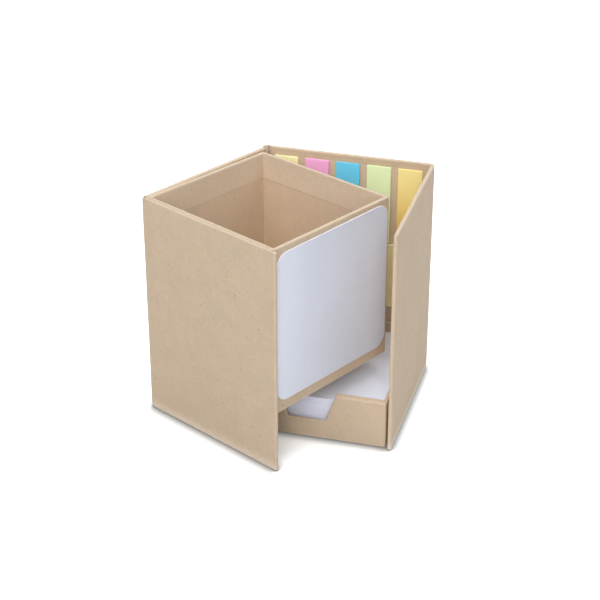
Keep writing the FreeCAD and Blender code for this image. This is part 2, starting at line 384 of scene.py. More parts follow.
memo_paper = leaf_paper("memo_paper", srgb(236, 240, 255), srgb(219, 224, 255))
note_paper = leaf_paper("note_paper", srgb(250, 237, 186), srgb(214, 198, 126))
flag_colours = {
    "yellow": (srgb(255, 253, 198), srgb(240, 226, 122)),
    "pink": (srgb(255, 182, 233), srgb(236, 144, 202)),
    "blue": (srgb(110, 216, 255), srgb(72, 176, 230)),
    "green": (srgb(235, 255, 202), srgb(190, 230, 134)),
    "orange": (srgb(255, 238, 160), srgb(255, 206, 98)),
}
flag_papers = {}
for colour, (face, deep) in flag_colours.items():
    low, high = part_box("flag_pad_" + colour)
    fade = (low.z, high.z) if colour == "orange" else None
    flag_papers[colour] = leaf_paper("flag_paper_" + colour, face, deep, fade)

# %% [markdown]
# ## The panel's film
#
# The panel is a smooth plastic film with a soft gloss.  An even gloss looks like glass, so its roughness is
# uneven, as it is after some wiping, and the film has a very faint orange peel.

# %% Panel film


def panel_film(name):
    """White plastic film: slightly uneven gloss over a very faint orange peel."""
    material, tree, coords = new_material(name)
    peel = noise(tree, coords, EVEN, 260, 3)
    rub = noise(tree, coords, EVEN, 240, 3, 0.6)
    share = from_noise(tree, rub, 0, 1)
    colour = blend_colours(tree, share, srgb(218, 222, 235), srgb(221, 225, 238))
    # A painted highlight: the edge and bevel are a lighter white.
    colour = blend_colours(tree, attribute(tree, "edge"), colour, srgb(238, 240, 248))
    roughness = from_noise(tree, rub, 0.3, 0.38)
    return finish_material(material, tree, colour, roughness, peel, 0.01 * MM, 0.5)


panel_white = panel_film("white_panel_film")

# %% [markdown]
# ## Floor and light
#
# The floor is one pale sheet and the light is soft: broad lamps all round and an even grey world.  More
# light would make the floor white, but it would bleach the papers too.  So only the rays that come straight
# from the camera, or by way of a glossy surface, see the floor brighter than it is lit.  It is white where
# no shadow falls, and far away, where the lamps no longer reach.  Soft light alone leaves hardly any shadow
# at the foot of the walls, so the floor is darker within 8 mm of them, by how much of the space above each
# point is closed in.

# %% Floor and light
FLOOR_HALF = 6.0
FLOOR_LIFT = 0.30
LIFT_NEAR, LIFT_FAR = 0.35, 1.2
FOOT_SHADOW = 8 * MM
AIM_HEIGHT = 0.06
WORLD_GREY = 0.18
WHITE = (1, 1, 1, 1)
COOL = (0.94, 1.02, 1.1)


def pale_floor():
    """A large flat sheet under the object, which keeps the object's shadow."""
    mesh = bpy.data.meshes.new("floor")
    corners = [(x * FLOOR_HALF, y * FLOOR_HALF, 0) for x, y in ((-1, -1), (1, -1), (1, 1), (-1, 1))]
    mesh.from_pydata(corners, [], [(0, 1, 2, 3)])
    floor = bpy.data.objects.new("floor", mesh)
    bpy.context.scene.collection.objects.link(floor)
    material, tree, coords = new_material("floor_paper")
    tone = noise(tree, coords, EVEN, 30, 2)
    pale = blend_colours(tree, tone, srgb(186, 186, 186), srgb(192, 192, 192))
    path = node(tree, "LightPath")
    seen = larger(tree, path.outputs["Is Camera Ray"], path.outputs["Is Glossy Ray"])
    open_share = node(tree, "AmbientOcclusion", {"Distance": FOOT_SHADOW}, samples=16).outputs["AO"]
    clear = between(tree, open_share, 0.5, 0.97, 0.28, 1.0)
    bright = blend_colours(tree, clear, (0, 0, 0, 1), srgb(255, 255, 255))
    lit = node(tree, "BsdfDiffuse", {"Color": blend_colours(tree, seen, pale, bright)}).outputs[0]
    away = node(tree, "VectorMath", {0: coords}, operation="LENGTH").outputs["Value"]
    lift = between(tree, away, LIFT_NEAR, LIFT_FAR, FLOOR_LIFT, 1.0, True)
    strength = product(tree, seen, lift, clear)
    glow = node(tree, "Emission", {"Color": WHITE, "Strength": strength}).outputs[0]
    surface = node(tree, "AddShader", {0: lit, 1: glow}).outputs[0]
    node(tree, "OutputMaterial", {"Surface": surface})
    mesh.materials.append(material)

# %% Lamps and surround


def softbox(name, place, size, power, tint=(1, 1, 1)):
    """A square lamp of the given size and power in watts, at `place`, that faces the object."""
    lamp = bpy.data.lights.new(name, "AREA")
    lamp.shape, lamp.size, lamp.energy, lamp.color = "SQUARE", size, power, tint
    holder = bpy.data.objects.new(name, lamp)
    holder.location = place
    aim = Vector((0, 0, AIM_HEIGHT)) - Vector(place)
    holder.rotation_euler = aim.to_track_quat("-Z", "Y").to_euler()
    bpy.context.scene.collection.objects.link(holder)
    print(f"{name}: {power} W, {aim.length:.2f} m away")


def even_world(strength):
    """A grey surround that lights the object evenly and looks white to the camera."""
    world = bpy.data.worlds.new("world")
    world.use_nodes = True
    tree = world.node_tree
    tree.nodes.clear()
    path = node(tree, "LightPath")
    direct = larger(tree, path.outputs["Is Camera Ray"], path.outputs["Is Transmission Ray"])
    level = between(tree, direct, 0, 1, strength, 1.0)
    light = node(tree, "Background", {"Color": WHITE, "Strength": level}).outputs[0]
    node(tree, "OutputWorld", {"Surface": light})
    bpy.context.scene.world = world


pale_floor()
even_world(WORLD_GREY)
softbox("lamp_above", (0.0, 0.1, 2.0), 1.4, 18)
softbox("lamp_front", (0.15, -1.7, 1.5), 1.2, 13.5)
softbox("lamp_front_left", (-0.8, -1.0, 2.4), 1.2, 17)
softbox("lamp_low_front", (0.35, -1.5, 0.75), 0.9, 9)
softbox("lamp_behind", (0.2, 1.3, 1.8), 1.2, 25, COOL)
softbox("lamp_behind_right", (1.0, 1.0, 2.0), 1.2, 21, COOL)
bpy.context.scene.view_settings.view_transform = "Standard"

# %% [markdown]
# ## Surfaces from rings
#
# Pasted board could be modelled from plain boxes with a bevel, but a bevel rounds all their edges alike.
# Paper rolls over a rim and bends round a fold, each by its own amount, so every piece here is a stack of
# closed rings of points instead: one for each station along a folded cover, for each height of a box's
# wall, or for each leaf's edges.  Neighbouring rings are joined by quads, and the first and last ring are
# each closed by one face.  `paint` puts numbers on the points that the materials read: `edge` at a folded
# rim for painted shade and at the panel's bevel for a painted highlight, a number for pale bands that are
# partly painted light, and `seam` for a painted shadow at an overlap or between leaves.

# %% Surface helpers
BOX_MARGIN = 1e-6
CORNER_POINTS = 5
WAVES = 8
BOW, BOW_LENGTH = 0.05 * MM, 45 * MM
RIPPLE, RIPPLE_LENGTH = 0.015 * MM, 9 * MM


def joined(*axes):
    """Numbers or arrays of one axis each, put together as points."""
    return np.stack(np.broadcast_arrays(*axes), -1)


def ringed_solid(name, rings, material, body, replaces, paint=None):
    """A closed piece from rings[i, j], moved with a body and standing for CAD nodes.

    The first corner of quad i, j is point i times columns plus j, and after the last column comes column 0.
    """
    rows, columns = rings.shape[:2]
    i, j = np.meshgrid(np.arange(rows - 1), np.arange(columns), indexing="ij")
    after = (j + 1) % columns
    quads = np.stack([i * columns + j, i * columns + after,
                      (i + 1) * columns + after, (i + 1) * columns + j], -1).reshape(-1, 4).tolist()
    last = (rows - 1) * columns
    faces = quads + [list(range(columns))[::-1], list(range(last, last + columns))]
    points = np.clip(rings.reshape(-1, 3), np.array(cad_low) + BOX_MARGIN, np.array(cad_high) - BOX_MARGIN)
    if signed_volume(points, faces) < 0:
        faces = [face[::-1] for face in faces]
    mesh = bpy.data.meshes.new(name)
    mesh.from_pydata(points.tolist(), [], faces)
    mesh.shade_smooth()
    for label, values in (paint or {}).items():
        layer = mesh.attributes.new(label, "FLOAT", "POINT")
        layer.data.foreach_set("value", np.clip(values, 0, 1).astype(np.float32).ravel())
    mesh.materials.append(material)
    piece = bpy.data.objects.new(name, mesh)
    bpy.context.scene.collection.objects.link(piece)
    if body:
        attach(piece, body)
    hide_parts(*replaces)
    print(f"{name}: {len(points)} points, {len(faces)} faces")
    return piece


def signed_volume(points, faces):
    """A sixth of the sum over triangles of a dot (b cross c): positive when the faces point outwards."""
    total = 0.0
    for face in faces:
        a = points[face[0]]
        rest = points[face[1:]]
        total += float(np.sum(np.cross(rest[:-1], rest[1:]) @ a)) / 6
    return total

# %% Bows, ripples and wear


def warped(points, amount, size, seed):
    """The points moved a little by a smooth field: a sum of waves about `size` long in random directions."""
    generator = np.random.default_rng(seed)
    moved = points.copy()
    for _ in range(WAVES):
        direction = generator.normal(size=3)
        direction *= 2 * math.pi / (size * generator.uniform(0.7, 1.6)) / np.linalg.norm(direction)
        push = generator.normal(size=3)
        push *= amount / 2 / np.linalg.norm(push)
        moved += np.sin(points @ direction + generator.uniform(0, 2 * math.pi))[..., None] * push
    return moved


def aged(points, seed):
    """Board that has settled: it bows a little, and its paper ripples less."""
    return warped(warped(points, BOW, BOW_LENGTH, seed), RIPPLE, RIPPLE_LENGTH, seed + 1)


def near(distance, reach):
    """1 at distance 0, falling smoothly to 0 at reach."""
    t = np.clip(distance / reach, 0, 1)
    return 1 - t * t * (3 - 2 * t)


def lowered(points, drop):
    """The points moved down by drop."""
    return points - joined(0.0, 0.0, drop)


def share_of(value, low, high):
    """How far a value lies from low to high, held between 0 and 1."""
    return np.clip((value - low) / (high - low), 0, 1)

# %% Round corners


def quarter(steps):
    """Angles from 0 to 90 degrees in radians."""
    return np.linspace(0, math.pi / 2, steps + 1)


def plan(low, high, radius, marks_x, marks_y, corner_points=CORNER_POINTS):
    """Points round a rounded rectangle, front side first, with the same count for every size."""
    turn = quarter(corner_points - 1)
    left, front, right, rear = low[0] + radius, low[1] + radius, high[0] - radius, high[1] - radius
    corners = [joined(x + radius * np.cos(start + turn), y + radius * np.sin(start + turn))
               for x, y, start in ((left, front, math.pi), (right, front, 1.5 * math.pi),
                                   (right, rear, 0.0), (left, rear, math.pi / 2))]
    sides = [joined(marks_x, low[1]), joined(high[0], marks_y),
             joined(marks_x[::-1], high[1]), joined(low[0], marks_y[::-1])]
    return np.concatenate([part for pair in zip(corners, sides) for part in pair])


# %% [markdown]
# ## The folded covers
#
# A cover is two boards laid on one sheet of kraft paper with a narrow joint between them.  The sheet is
# turned in over all the edges, and then the cover is folded at the joint.  So each wall is a slab with
# softly rolled edges, and at the fold there is no board, only paper bent round a small hollow that stays
# open at the top and bottom.
#
# Two bevelled slabs would leave a gap where the paper really runs round the corner.  So one upright slab
# section is carried along the L of the fold, and a cover is one solid.  `across` runs through the wall,
# from inside to outside, and `up` is the height.  At both ends the section is drawn in round a quarter
# circle, and at the fold the middle of the rim is pushed down to open the hollow, which is painted dark as
# shade.  The pen box is glued inside the holder's cover, and the gap between the two rims gets a painted
# shadow, a dark line.

# %% Folded covers
EDGE_ROLL = 0.95 * MM
FOLD_INSIDE = 0.4 * MM
FOLD_DIP = 0.25 * MM
HOLLOW_DEPTH = 5 * MM
FOLD_CENTRE = WALL + FOLD_INSIDE
BEND_POINTS = 17
RIM_REACH = 1.2 * MM
FOOT_REACH = 8 * MM
LINE_REACH = 0.55 * MM
SEAM_REACH = 0.45 * MM
LINING_PROUD = 0.1 * MM


def slab_section(half, low, high, roll, face_rows, rim_points):
    """One ring of (across, up) round a slab: up the outside, over the rim, down, and under the foot."""
    roll = max(roll, 0.04 * MM)
    turn = quarter(4)[:-1]
    side = np.concatenate([[0, 0.004], np.linspace(0, 1, face_rows)[1:-1], [0.996, 1]])
    outside = joined(half, low + roll + (high - low - 2 * roll) * side)
    top_out = joined(half - roll + roll * np.cos(turn[1:]), high - roll + roll * np.sin(turn[1:]))
    top = joined(np.linspace(half - roll, -(half - roll), rim_points), high)
    rim = np.concatenate([top_out, top, top_out[::-1] * (-1, 1)])
    foot = rim[::-1] * (1, -1) + (0, low + high)
    return np.concatenate([outside, rim, outside[::-1] * (-1, 1), foot])

# %% Path of a fold


def swept(place, outward, section):
    """One ring: the section stood up at a place, with `across` along the outward direction."""
    across, up = section[:, 0], section[:, 1]
    return joined(place[0] + outward[0] * across, place[1] + outward[1] * across, up)


def bent_run(run_u, run_v, offset, radius, bend):
    """Places and outward directions of an L: in along x, round a quarter circle, and out along y."""
    arc = joined(-np.sin(bend), -np.cos(bend))
    place = np.concatenate([joined(run_u, offset), FOLD_CENTRE + radius * arc, joined(offset, run_v)])
    outward = np.concatenate([joined(0 * run_u, -1.0), arc, joined(-1.0, 0 * run_v)])
    return place, outward


def fold_stations(length_u, length_v):
    """Stations along the middle of an L wall: place, outward, inset, distance to the end, and hollow."""
    steps = quarter(4)[::-1]
    roll = EDGE_ROLL * (1 - np.cos(steps))
    end = np.concatenate([EDGE_ROLL * (1 - np.sin(steps)), np.array([1.1, 1.5, 2, 3, 4.5]) * MM])
    fold_end = FOLD_CENTRE + np.array([0.2, 0.45, 0.9]) * MM
    run_u = np.concatenate([length_u - end, np.arange(length_u - 7 * MM, FOLD_CENTRE + 2 * MM, -2.5 * MM),
                            fold_end[::-1]])
    run_v = np.concatenate([fold_end, np.arange(FOLD_CENTRE + 3 * MM, length_v - 6 * MM, 2.5 * MM),
                            (length_v - end)[::-1]])
    place, outward = bent_run(run_u, run_v, WALL / 2, FOLD_INSIDE + WALL / 2, quarter(BEND_POINTS - 1))
    inset = np.zeros(len(place))
    inset[:len(roll)], inset[-len(roll):] = roll, roll[::-1]
    to_end = np.concatenate([length_u - run_u, np.ones(BEND_POINTS), length_v - run_v])
    fold = slice(len(run_u), len(run_u) + BEND_POINTS)
    hollow = np.zeros(len(place))
    hollow[fold.start - 1] = hollow[fold.stop] = 0.5
    hollow[fold] = 1
    return place, outward, inset, to_end, hollow

# %% Cover and lining of a fold


def folded_cover(body, put, lengths, low, high, seed):
    """A body's folded cover as one solid.  put(points) carries it from the fold's own axes to its place."""
    rings, edge, pale_and_painted_light, seam = [], [], [], []
    for place, outward, inset, to_end, hollow in zip(*fold_stations(*lengths)):
        dip = FOLD_DIP * hollow
        section = slab_section(WALL / 2 - inset, low + inset + dip, high - inset - dip,
                               EDGE_ROLL - inset, 56, 7)
        across, up = section[:, 0], section[:, 1]
        from_rim = np.minimum(up - low, high - up)
        on_rim = (from_rim < 0.3 * MM) & (np.abs(across) < WALL / 2 - 0.75 * MM)
        depth = np.where(on_rim, HOLLOW_DEPTH * hollow, 0)
        up = np.where(up > (low + high) / 2, up - depth, up + depth)
        rings.append(swept(place, outward, joined(across, up)))
        # Painted shade on the outer rim.
        edge.append(near(high - up, RIM_REACH) * (across > 0.3 * MM - WALL / 2))
        # Painted light along the foot, where the floor throws light back, and a plain paler band at each end.
        pale_and_painted_light.append(np.maximum(near(up - low, FOOT_REACH), 0.15 * near(to_end, 1.4 * MM)))
        mitre = np.abs(to_end - (WALL / 2 + across) - 0.6 * MM)
        dark = np.where(from_rim < 0.5 * MM, near(mitre, SEAM_REACH), 0) * (to_end < 4 * MM)
        # Painted shade in the open hollow at the fold.
        dark = np.maximum(dark, on_rim * hollow)
        # A painted shadow in the gap between the holder's cover rim and the pen box's rim.
        if body == "holder":
            dark = np.maximum(dark, 0.2 * near(WALL / 2 + across, LINE_REACH) * (high - up < 1.5 * MM))
        seam.append(dark)
    points = put(aged(np.array(rings), seed))
    paint = {"edge": np.array(edge), "pale_and_painted_light": np.array(pale_and_painted_light), "seam": np.array(seam)}
    ringed_solid(body + "_cover_wrap", points, cover_kraft, body, [body + "_cover_paper"], paint)


def lining_sheet(body, put, lengths, laps, low, high, seed):
    """The lining on the inner faces of a folded cover: one thin sheet, LINING_PROUD above the wrap."""
    thick = 0.3 * MM
    radius = FOLD_INSIDE + thick / 2 - LINING_PROUD
    run_u, run_v = (np.linspace(length - lap, FOLD_CENTRE + 0.1 * MM, 45)
                    for length, lap in zip(lengths, laps))
    stations = bent_run(run_u, run_v[::-1], FOLD_CENTRE - radius, radius, quarter(6))
    section = slab_section(thick / 2, low, high, 0.05 * MM, 50, 3)
    rings = np.array([swept(place, outward, section) for place, outward in zip(*stations)])
    # A thin painted shadow along the lining's edges.
    rim = near(np.minimum(section[:, 1] - low, high - section[:, 1]), 0.5 * MM)
    seam = np.tile(rim, (len(rings), 1))
    seam[[0, -1]] = 1
    ringed_solid(body + "_lining", put(aged(rings, seed)), lining_kraft, body, [body + "_lining_paper"],
                 {"seam": seam * 0.8})


# %% [markdown]
# Both covers are built the same way in their fold's own axes, so one function makes them, and each is then
# put in its place.  The shell's fold is the back right corner, and its covers run left and forwards from
# there, so its L is turned half round.  The holder's fold is the front left corner.  Its L is placed with
# the cube shut and then opened about the hinge.

# %% Build the covers
back_low, back_high = rest_box("back_cover_board")
side_low, side_high = rest_box("side_cover_board")
front_low, front_high = shut_box("front_cover_board")
left_low, left_high = shut_box("left_cover_board")
shell_corner = np.array([side_high[0] + PAPER, back_high[1] + PAPER])
holder_corner = np.array([left_low[0] - PAPER, front_low[1] - PAPER])
cover_low, cover_high = back_low[2] - PAPER, back_high[2] + PAPER
lining_low, lining_high = cover_low + COVER_TURN_IN, cover_high - COVER_TURN_IN
SAG = 0.9 * MM
HINGE_LAP = 6 * MM


def put_shell(points):
    """The fold's own axes turned half round about the back right corner."""
    return joined(shell_corner[0] - points[..., 0], shell_corner[1] - points[..., 1], points[..., 2])


def sagged(points):
    """The left cover's top slopes down by SAG from the fold to the hinge, as it was pulled on by hand."""
    along = share_of(points[..., 1], holder_corner[1], left_high[1])
    return lowered(points, SAG * along * share_of(points[..., 2], cover_low, cover_high))


def put_holder(points):
    """The fold's own axes moved to the shut front left corner, then sagged and opened about the hinge."""
    return opened(sagged(points + np.array([*holder_corner, 0])))


shell_lengths = (shell_corner[0] - back_low[0] + PAPER, shell_corner[1] - side_low[1] + PAPER)
holder_lengths = (front_high[0] + PAPER - holder_corner[0], left_high[1] + PAPER - holder_corner[1])
covers = (("shell", put_shell, shell_lengths, (HINGE_LAP, COVER_TURN_IN), 3),
          ("holder", put_holder, holder_lengths, (COVER_TURN_IN, HINGE_LAP), 5))
for body, put, lengths, laps, seed in covers:
    folded_cover(body, put, lengths, cover_low, cover_high, seed)
for body, put, lengths, laps, seed in covers:
    lining_sheet(body, put, lengths, laps, lining_low, lining_high, seed)

# %% [markdown]
# ## The paper hinge
#
# The cover paper and a strip of lining are pasted together across the joint between the back cover and the
# left cover, and that strip is the whole hinge.  It starts on the back cover, rolls round the hinge axis
# and ends on the left cover.  Its two ends belong to different bodies.  Riding on either of them, it would
# tear off the other as the holder swings, so it is built round the axis where it rests and rides on
# neither body.

# %% Hinge strip
BACK_SLOT = back_low[0] - PAPER - hinge_x
LEFT_SLOT = hinge_y - left_high[1] - PAPER
STRIP_INSET = 0.3 * MM
RUN_POINTS = 5
print("slots beside the hinge", round(BACK_SLOT / MM, 2), round(LEFT_SLOT / MM, 2))


def hinge_strip():
    """A thin strip of paper round the hinge axis, from the back cover's outside to the left cover's."""
    outer, thick, lap = WALL / 2, 0.45 * MM, 0.5 * MM
    middle = outer - thick / 2
    back_run = np.linspace(BACK_SLOT + lap, 0.15 * MM, RUN_POINTS)
    left_run = np.linspace(0.15 * MM, LEFT_SLOT + lap, RUN_POINTS)
    bend = np.radians(np.linspace(90, 180 - OPEN_AT_REST, 15))
    arc = joined(np.cos(bend), np.sin(bend))
    first, last = arc[0], arc[-1]
    place = np.concatenate([first * middle + back_run[:, None] * (first[1], -first[0]), middle * arc,
                            last * middle + left_run[:, None] * (-last[1], last[0])])
    outward = np.concatenate([np.tile(first, (RUN_POINTS, 1)), arc, np.tile(last, (RUN_POINTS, 1))])
    section = slab_section(thick / 2, cover_low + STRIP_INSET, cover_high - STRIP_INSET, 0.2 * MM, 50, 3)
    axis = np.array([hinge_x, hinge_y])
    rings = np.array([swept(axis + p, n, section) for p, n in zip(place, outward)])
    # The top 4 mm of the strip is made paler.
    paler_top = near(np.maximum(cover_high - section[:, 1] - 4 * MM, 0), 0.6 * MM)
    # Rings 1 to 3 carry a painted shadow across the strip, beside the back cover's end.
    line = np.zeros(rings.shape[:2])
    line[1:4] = 1
    paint = {"pale_and_painted_light": np.tile(paler_top, (len(rings), 1)), "seam": line}
    strip = ringed_solid("hinge_strip", rings, cover_kraft, None, ["hinge_fold_paper"], paint)
    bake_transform(strip)


hinge_strip()

# %% [markdown]
# ## The wrapped boxes
#
# The memo tray and the pen box are glued up from boards and covered like a gift box: the cover paper goes
# up the outside, over the rim and 16 mm down the inside.  The pen box's lining is pasted over its end, and
# the fine line all round the inside, along the edge of each box's lining, is a painted shadow.
#
# A box could be hollowed out with a boolean, but that leaves sharp rims without a wrap.  So each box is a
# stack of rings round its plan: in from the base, up the outside, over the rim, down the inside and in to
# the floor.  A ring lies between the outer plan and the inner plan by a share of the wall.  The rim has its
# own line, so the tray's finger notch is only a dip in that line: `rim` gives the line's height and the
# direction into the board at each point.

# %% Wrapped boxes
RIM_STEPS = (0.25, 0.5, 0.75, 1.0)
CORNER_CLEAR = 1.2 * MM
LINING_SUNK = 0.1 * MM
DIP_LEFT, DIP_RIGHT = 2.3 * MM, 1.2 * MM


def open_box(low, high, walls, roll, floor_z, marks, rim=None, face_rows=40, inner_rows=30):
    """Rings of an open box.  walls = (side, front).  Returns the rings and each point's depth below the rim.

    rim(marks_x, inner) gives the front rim's height and the direction into the board, for its outer board or
    its inner board; elsewhere the rim is level and one board thick.
    """
    marks_x, marks_y = marks
    side, front = walls
    outer = plan(low, high, min(0.8 * MM, side * 0.4 + 0.5 * MM), marks_x, marks_y)
    inner = plan((low[0] + side, low[1] + front), (high[0] - side, high[1] - side), 0.3 * MM,
                 marks_x, marks_y)
    count = len(outer)
    on_front = slice(CORNER_POINTS, CORNER_POINTS + len(marks_x))
    thick, step_at = np.full(count, side), np.full(count, side / 2)
    rim_z, into = np.full(count, high[2]), np.tile([0.0, -1.0], (count, 1))
    inner_z, inner_into = rim_z.copy(), into.copy()
    if rim is not None:
        thick[on_front], step_at[on_front] = front, side
        rim_z[on_front], into[on_front] = rim(marks_x, False)
        inner_z[on_front], inner_into[on_front] = rim(marks_x, True)
    zero = np.zeros(count)

    def ring(inwards, heights, sideways=zero):
        """The plan drawn in by `inwards` and moved sideways along x, at the given heights."""
        flat = outer + (inner - outer) * (inwards / thick)[:, None]
        return joined(flat[:, 0] + sideways, flat[:, 1], heights)

    def rolled(edge_at, facing, height, way, angles):
        """A quarter round of the rim: drawn in from edge_at by roll times one less the angle's cosine."""
        drawn = [(edge_at + facing * roll * (1 - math.cos(a)), roll * (1 - math.sin(a))) for a in angles]
        return [ring(inwards, height + way[:, 1] * depth, way[:, 0] * depth) for inwards, depth in drawn]

    turn = quarter(4)
    drop = rim_z - inner_z
    foot = [ring(zero + 1.2 * roll, low[2])]
    foot += [ring(zero + roll * (1 - math.cos(a)), low[2] + roll * (1 - math.sin(a))) for a in turn[::-1]]
    outer_rim = rolled(zero, 1, rim_z, into, turn)
    outer_rim += [ring(roll + (step_at - roll) * share, rim_z - drop * share) for share in RIM_STEPS]
    inner_rim = [ring(step_at + (thick - roll - step_at) * 0.5, inner_z)]
    inner_rim += rolled(thick, -1, inner_z, inner_into, turn[::-1])
    floor = ring(thick, floor_z)
    rise = np.concatenate([[0.01], np.linspace(0, 1, face_rows)[1:-1], [0.995]])
    fall = np.concatenate([[0.005], np.linspace(0, 1, inner_rows)[1:]])
    outside = foot + [foot[-1] + (outer_rim[0] - foot[-1]) * share for share in rise] + outer_rim
    inside = inner_rim + [inner_rim[-1] + (floor - inner_rim[-1]) * share for share in fall]
    rings = np.array(outside + inside)
    line = np.array([rim_z] * len(outside) + [inner_z] * len(inside))
    return rings, line - rings[..., 2]

# %% Wrap and lining of a box


def wrapped_box(box, body, put, low, high, front_wall, floor_z, marks, seed, rim=None, glued=False):
    """A board box covered with kraft paper, with rolled rims and mitred corners.

    The glued pen box has painted shade, a dark line beside its cover's rims and darker rims, and painted
    light on its paper inside.
    """
    rings, depth = open_box(low, high, (WALL, front_wall), EDGE_ROLL, floor_z, marks, rim)
    # Painted shade on the pen box's rims.
    edge = near(depth, RIM_REACH) * glued
    inwards = np.minimum.reduce([rings[..., 0] - low[0], high[0] - rings[..., 0],
                                 rings[..., 1] - low[1], high[1] - rings[..., 1]])
    # Painted light on the pen box's paper inside, and along the foot of every box.
    painted_inner_light = 0.5 * (inwards > WALL - 0.05 * MM) * glued
    pale_and_painted_light = np.maximum(near(rings[..., 2] - low[2], 1.8 * MM) * 0.6, painted_inner_light)
    seam = np.zeros_like(depth)
    middle = CORNER_POINTS // 2
    # Each mitred corner dips 0.2 mm at the rim and gets a thin painted shadow, strongest near the rim.
    for along in (*map(len, marks), len(marks[0]), 0):
        from_rim = np.abs(depth[:, middle])
        seam[:, middle] = np.where(from_rim < 0.7 * MM, 1, 0.15)
        rings[:, middle, 2] -= np.where(from_rim < 0.3 * MM, 0.2 * MM, 0)
        middle += CORNER_POINTS + along
    # A painted shadow in the gaps between the cover's rims and the pen box's left and front walls.
    if glued:
        left, front = (near(rings[..., axis] - low[axis], LINE_REACH) for axis in (0, 1))
        seam = np.maximum(seam, np.maximum(0.45 * left, 0.2 * front) * (depth < 3 * MM))
    paint = {"edge": edge, "pale_and_painted_light": pale_and_painted_light, "seam": seam}
    ringed_solid(box + "_wrap", put(aged(rings, seed)), cover_kraft, body, [box + "_cover_paper"], paint)


def lined_box(box, body, put, low, high, front_wall, floor_z, marks, seed, rim=None):
    """A box's lining: four walls up to the turned-in paper, and the floor.  It starts LINING_SUNK deep."""
    low = np.array([low[0] + WALL, low[1] + front_wall, floor_z]) - LINING_SUNK
    high = np.array([high[0] - WALL + LINING_SUNK, high[1] - WALL + LINING_SUNK, high[2] - TURN_IN])
    sheet = 0.25 * MM
    rings, depth = open_box(low, high, (sheet, sheet), 0.08 * MM, floor_z + LINING_SUNK, marks, rim)
    # A thin painted shadow along the lining's top edge.
    seam = near(np.abs(depth), SEAM_REACH)
    ringed_solid(box + "_lining", put(aged(rings, seed)), lining_kraft, body, [box + "_lining_paper"],
                 {"seam": seam})

# %% Pen box


def straight_marks(low, high):
    """Places about 3 mm apart along a wall, clear of its corners."""
    return np.linspace(low + CORNER_CLEAR, high - CORNER_CLEAR, max(3, int((high - low) / (3 * MM))))


def at_rest(points):
    """Shell pieces are already where they rest."""
    return points


def settled(points):
    """The pen box was glued in by hand: its back wall stands low, most at the left."""
    along, upward = (share_of(points[..., axis], box_low[axis], box_high[axis]) for axis in (1, 2))
    leftward = share_of(points[..., 0], box_high[0], box_low[0])
    return lowered(points, (DIP_RIGHT + (DIP_LEFT - DIP_RIGHT) * leftward) * along * upward)


def put_box(points):
    """The pen box, from its shut and level place to where it rests."""
    return opened(settled(points))


box_low, box_high = shut_box("pen_box_cover_paper")
box_floor = shut_box("pen_box_floor_board")[1][2]
box_marks = [straight_marks(box_low[axis] + WALL, box_high[axis] - WALL) for axis in (0, 1)]
pen_box = ("pen_box", "holder", put_box, box_low, box_high, WALL, box_floor, box_marks, 5)
wrapped_box(*pen_box, glued=True)
lined_box(*pen_box)

# %% [markdown]
# The tray's front is two boards thick and has a notch for a finger, cut at a slant on both sides.  Its rim
# line goes level, down the slant, across and up again, with its corners rounded by a smoothed step.  A
# notch cut out afterwards would show a raw edge, and a dip in the line keeps the paper wrapped over it.
# The inner board is cut a little deeper than the outer one, so the paper slopes down behind the rim.

# %% Tray
tray_low, tray_high = rest_box("tray_cover_paper")
tray_floor = rest_box("tray_floor_board")[1][2]
TRAY_FRONT = 2 * BOARD + 2 * PAPER
NOTCH_BOTTOM, NOTCH_TOP, NOTCH_DEPTH, NOTCH_STEP = 10.9 * MM, 17.0 * MM, 17.4 * MM, 2.2 * MM
NOTCH_ROUNDING = 0.7 * MM


def notch_marks():
    """Places along the tray's front that are close together on the notch's slants and corners."""
    slant = np.linspace(NOTCH_BOTTOM, NOTCH_TOP, 31)
    beyond = NOTCH_TOP + np.array([0.25, 0.5, 0.8, 1.2, 1.6, 1.9, 2.1, 2.3, 2.5, 2.8, 3.2, 4.0, 6.0]) * MM
    below = NOTCH_BOTTOM - np.array([3.5, 2.0, 1.2, 0.8, 0.5, 0.25]) * MM
    level = np.linspace(NOTCH_TOP + 9 * MM, tray_high[0] - WALL - CORNER_CLEAR, 8)
    half = np.concatenate([[2.5 * MM, 5 * MM], below, slant, beyond, level])
    return np.concatenate([-half[::-1], [0.0], half])


def notch_rim(x, inner):
    """Height of the front rim, and the direction into the board, at each x.

    The height is a smooth clamp of a straight slant.  Each corner is rounded by half the sum of v and the
    square root of v squared plus r squared, where v is the distance past the corner and r the rounding.
    The inner board is cut deeper by the step.
    """
    depth = NOTCH_DEPTH + (NOTCH_STEP if inner else 0.0)
    slope = depth / (NOTCH_TOP - NOTCH_BOTTOM)

    def rounded(value):
        return (np.sqrt(value * value + NOTCH_ROUNDING * NOTCH_ROUNDING) + value) / 2

    rise = rounded((np.abs(x) - NOTCH_BOTTOM) * slope)
    rise = depth - rounded(depth - rise)
    height = tray_high[2] - depth + rise
    if inner:
        height = np.minimum(height, notch_rim(x, False)[0])
    grade = np.gradient(height, x)
    length = np.sqrt(1 + grade * grade)
    return height, joined(grade / length, -1 / length)


tray_marks = (notch_marks(), straight_marks(tray_low[1] + TRAY_FRONT, tray_high[1] - WALL))
tray = ("tray", "shell", at_rest, tray_low, tray_high, TRAY_FRONT, tray_floor, tray_marks, 3)

# %% Notch in the lining, and tray


def lining_rim(x, inner):
    """The lining's front rim: level below the turned-in paper, and lower in the notch, whatever the board."""
    height = np.minimum(tray_high[2] - TURN_IN, notch_rim(x, True)[0] - 0.8 * MM)
    return height, np.tile([0.0, -1.0], (len(x), 1))


wrapped_box(*tray, notch_rim)
lined_box(*tray, lining_rim)

